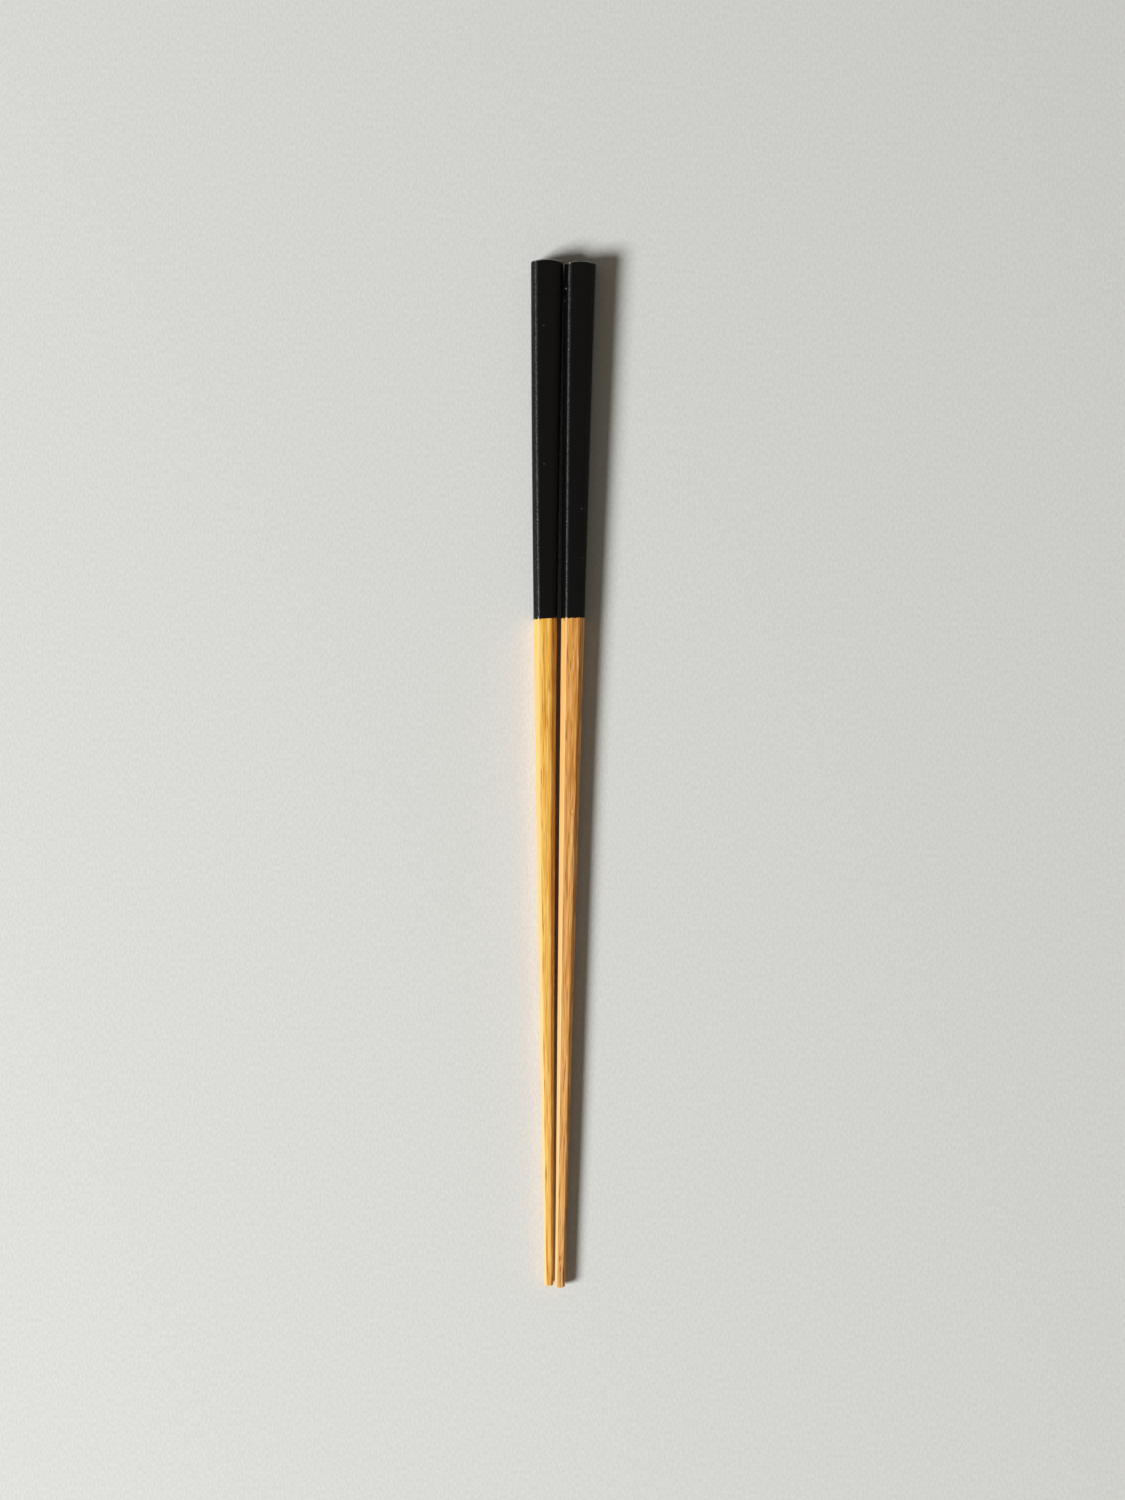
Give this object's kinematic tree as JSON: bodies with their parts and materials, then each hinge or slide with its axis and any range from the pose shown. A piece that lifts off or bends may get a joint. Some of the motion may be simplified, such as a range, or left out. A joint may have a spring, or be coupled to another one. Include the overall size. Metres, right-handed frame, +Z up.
{
  "type": "pair of lacquered bamboo chopsticks",
  "caption": "Two long, slender bamboo sticks with eight-sided sections that taper to blunt tips, their handles coated in black lacquer, for picking up food.",
  "frame": {"origin": "on the surface that the pair lies on, under the middle of the pair's bounding box", "axes": "+X from the left chopstick towards the right one, +Y along the sticks from the tips towards the butts, +Z up"},
  "size_m": [0.0148, 0.2304, 0.0072],
  "materials": {
    "bamboo_left": "planed, oiled golden bamboo with fine straight fibres",
    "bamboo_right": "planed, oiled tan bamboo with fine straight fibres",
    "black_lacquer": "thin satin black lacquer"
  },
  "bodies": {
    "root": {"left_chopstick": "bamboo_left", "right_chopstick": "bamboo_right", "left_lacquer_coat": "black_lacquer", "right_lacquer_coat": "black_lacquer"}
  },
  "joints": []
}
